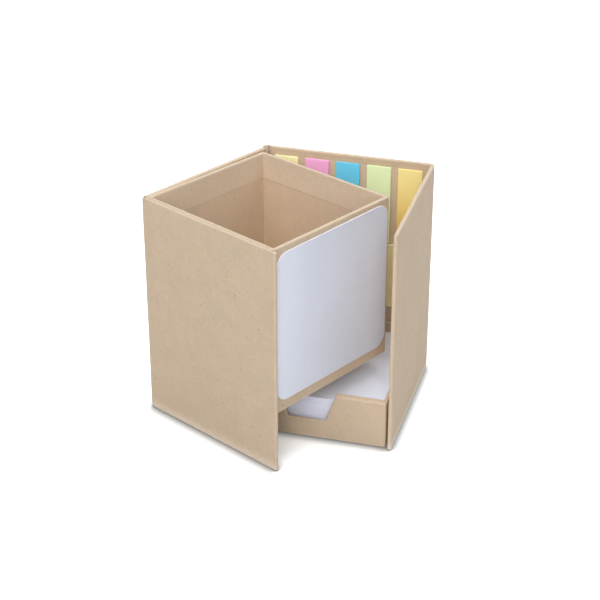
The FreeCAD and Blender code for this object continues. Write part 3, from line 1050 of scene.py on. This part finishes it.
# %% [markdown]
# ## The boards inside
#
# Every wrap has its greyboards inside it.  The boards' solids could be kept for that, but their square
# corners would show through the rolled paper, so each board is drawn 0.15 mm slimmer with eased corners,
# and it settles with its wrap.  The tray's two front boards are drawn along x, each cut below the paper in
# the notch.

# %% Boards
SLIM = 0.15 * MM


def inner_board(node_name, body, settle):
    """A plain board as a stack of outlines, slimmer than its node by SLIM all round."""
    low, high = shut_box(node_name) if body == "holder" else rest_box(node_name)
    low, high = low + SLIM, high - SLIM
    marks_x, marks_y, heights = np.linspace(low, high, 9).T
    outline = plan(low, high, 0.1 * MM, marks_x[1:-1], marks_y[1:-1])
    rings = np.array([joined(outline[:, 0], outline[:, 1], height) for height in heights])
    ringed_solid(node_name + "_inside", settle(rings), raw_board, body, [node_name])


def front_board(node_name):
    """One of the tray's two front boards: upright rectangles along x, cut below the paper in the notch."""
    low, high = rest_box(node_name)
    low, high = low + SLIM, high - SLIM
    marks = tray_marks[0]
    inside = marks[(marks > low[0] + 0.1 * MM) & (marks < high[0] - 0.1 * MM)]
    along = np.concatenate([[low[0]], inside, [high[0]]])
    tops = notch_rim(along, True)[0] - PAPER - SLIM
    rings = np.array([[(x, low[1], low[2]), (x, high[1], low[2]), (x, high[1], top), (x, low[1], top)]
                      for x, top in zip(along, tops)])
    ringed_solid(node_name + "_inside", rings, raw_board, "shell", [node_name])


for name in sorted(frame["nodes"]):
    if name.startswith("tray_front"):
        front_board(name)
    elif name.startswith("pen_box") and name.endswith("_board"):
        inner_board(name, "holder", put_box)
    elif name in ("front_cover_board", "left_cover_board"):
        inner_board(name, "holder", lambda points: opened(sagged(points)))
    elif name.endswith("_board"):
        inner_board(name, "shell", at_rest)

# %% [markdown]
# ## Sheets, notes and flags
#
# A pad is a stack of leaves that never line up quite perfectly.  Seventy loose sheets could be stacked, but
# faces that touch flicker, so a pad is one closed solid.  Each leaf gives it two rings, its lower and upper
# edge, and between two leaves there is a shallow groove.  The leaves are shifted by a few hundredths of a
# millimetre each, and the top ones lift a little at their free edge.

# %% Leaf stacks
GROOVE = 0.03 * MM
TOP_INSETS = (0.05 * MM, 0.6 * MM)
TOP_SHRINKS = (0.1, 0.25, 0.45, 0.7, 0.93)
FLAG_LEFT, FLAG_RIGHT = 0.7 * MM, 1.3 * MM


def leaf_stack(name, node_name, to_rest, size, leaves, shift, lift, material, seed):
    """A pad of leaves that stands for a CAD node.

    size is (width, length, thickness) in the pad's own axes, and to_rest(points) carries them to rest.
    lift(v, share) is how far a leaf stands up at v = 0..1 along its length, for a share 0..1 of the stack.
    """
    generator = np.random.default_rng(seed)
    width, length, thickness = size
    across = np.concatenate([[0, 0.02], np.linspace(0, 1, 9)[1:-1], [0.98, 1]])
    along = np.concatenate([[0, 0.01], np.linspace(0, 1, 17)[1:-1], [0.99, 1]])
    outline = np.concatenate([joined(across, 0.0)[:-1], joined(1.0, along)[:-1],
                              joined(across[::-1], 1.0)[:-1], joined(0.0, along[::-1])[:-1]])
    centre = outline - 0.5
    size_uv = np.array([width, length])
    rings, seam = [], []

    def add(flat, heights, mark=0.0):
        """One more ring, painted with one number."""
        rings.append(joined(flat[:, 0], flat[:, 1], heights))
        seam.append(np.full(len(outline), mark))

    def edge_ring(inset, height, share, offset, mark=0.0):
        """A ring round the leaves' edge, drawn in by inset."""
        tall = height + lift(outline[:, 1], share) * (height / thickness)
        add(centre * (size_uv - 2 * inset) + offset, tall, mark)

    leaf = thickness / leaves
    for k in range(leaves):
        inset = 0.02 * MM + shift * generator.uniform(0, 1)
        offset = shift * generator.uniform(-0.5, 0.5, 2)
        share = (k + 1) / leaves
        edge_ring(inset + GROOVE, k * leaf, share, offset, 1.0)
        edge_ring(inset, (k + 0.2) * leaf, share, offset)
        edge_ring(inset, (k + 0.85) * leaf, share, offset)
    for more in TOP_INSETS:
        edge_ring(inset + more, thickness, 1.0, offset)
    for shrink in TOP_SHRINKS:
        flat = centre * size_uv * (1 - shrink) + offset
        add(flat, thickness + lift(flat[:, 1] / length + 0.5, 1.0))
    ringed_solid(name, to_rest(np.array(rings)), material, "shell", [node_name], {"seam": np.array(seam)})

# %% Axes and lift of a pad


def lying(low, high):
    """Carries a pad's own axes to a pad that lies flat: width to x, length to y, thickness up."""
    middle = (low + high) / 2
    return lambda points: points + np.array([middle[0], middle[1], low[2]])


def standing(low, high):
    """Carries a pad's own axes to a pad on the back cover: width to x, length to z, thickness forwards."""
    middle = (low + high) / 2
    return lambda points: joined(points[..., 0] + middle[0], high[1] - points[..., 2],
                                 points[..., 1] + middle[2])


def lifted(height, power):
    """How leaves lift at the free edge: up to height, less for the lower leaves by that power."""
    return lambda v, share: height * share ** power * (1 - v) ** 3


memo_low, memo_high = rest_box("memo_block")
leaf_stack("memo_sheets", "memo_block", lying(memo_low, memo_high), memo_high - memo_low, 70, 0.12 * MM,
           lifted(0.25 * MM, 8), memo_paper, 11)
note_low, note_high = rest_box("sticky_note_pad")
note_size = (note_high - note_low)[[0, 2, 1]]
leaf_stack("sticky_notes", "sticky_note_pad", standing(note_low, note_high), note_size, 14, 0.05 * MM,
           lifted(0.35 * MM, 2), note_paper, 12)
for number, colour in enumerate(flag_colours):
    flag_low, flag_high = rest_box("flag_pad_" + colour)
    flag_low[0], flag_high[0] = flag_low[0] - FLAG_LEFT, flag_high[0] - FLAG_RIGHT
    flag_size = (flag_high - flag_low)[[0, 2, 1]]
    leaf_stack("flags_" + colour, "flag_pad_" + colour, standing(flag_low, flag_high), flag_size, 10,
               0.05 * MM, lifted(0.3 * MM, 2), flag_papers[colour], 20 + number)

# %% [markdown]
# ## The white panel
#
# A thin plastic-faced card with round corners, stuck to the side of the pen box.  Its corners are wide and
# its front edge has only a fine bevel, where the film catches the light.  One bevel can't be both, so the
# panel is a rounded rectangle in rings that are drawn in step by step.  The rings of its edge and bevel are
# painted a lighter white: a painted highlight.

# %% White panel


def white_panel():
    """The panel as rings drawn inwards from its outline: back edge, front edge, bevel, then the flat face."""
    low, high = shut_box("whiteboard_panel")
    radius, thick, bevel = 8 * MM, high[0] - low[0], 0.12 * MM
    marks_y, marks_z = (np.linspace(low[axis] + radius, high[axis] - radius, 14)[1:-1] for axis in (1, 2))
    profile = [(0.02 * MM, 0.0), (0.0, 0.02 * MM), (0.0, thick - bevel)]
    profile += [(bevel * (1 - math.cos(a)), thick - bevel + bevel * math.sin(a)) for a in quarter(3)[1:]]
    on_bevel = len(profile)
    profile += [(0.35 * MM, thick), (2 * MM, thick), (5 * MM, thick)]
    rings = []
    for inset, out in profile:
        outline = plan(low[1:] + inset, high[1:] - inset, radius - inset, marks_y, marks_z, 13)
        rings.append(joined(low[0] + out, outline[:, 0], outline[:, 1]))
    rings = np.array(rings)
    # The edge and bevel rings are marked for the painted highlight.
    edge = np.zeros(rings.shape[:2])
    edge[:on_bevel] = 1
    ringed_solid("white_panel", opened(rings), panel_white, "holder", ["whiteboard_panel"], {"edge": edge})


white_panel()

# %% [markdown]
# ## Solids that keep their own shape
#
# The two base sheets are flat pasted sheets under the boxes.  New meshes would look no different there, so
# their solids stay and only get the paper.

# %% Materials on the nodes that stay
for name in ("tray_base_paper", "pen_box_base_paper"):
    sheet = frame["nodes"][name].data
    sheet.materials.clear()
    sheet.materials.append(lining_kraft)


# %% [markdown]
# ## Finish
#
# The dressed model must stay inside the box of the solids.  The wraps are warped at random, so every
# piece's points are held inside that box as the piece is made, and the box is printed.

# %% Sizes and finish
import json

print("cad box", [round(v * 1000, 2) for v in (*cad_low, *cad_high)])
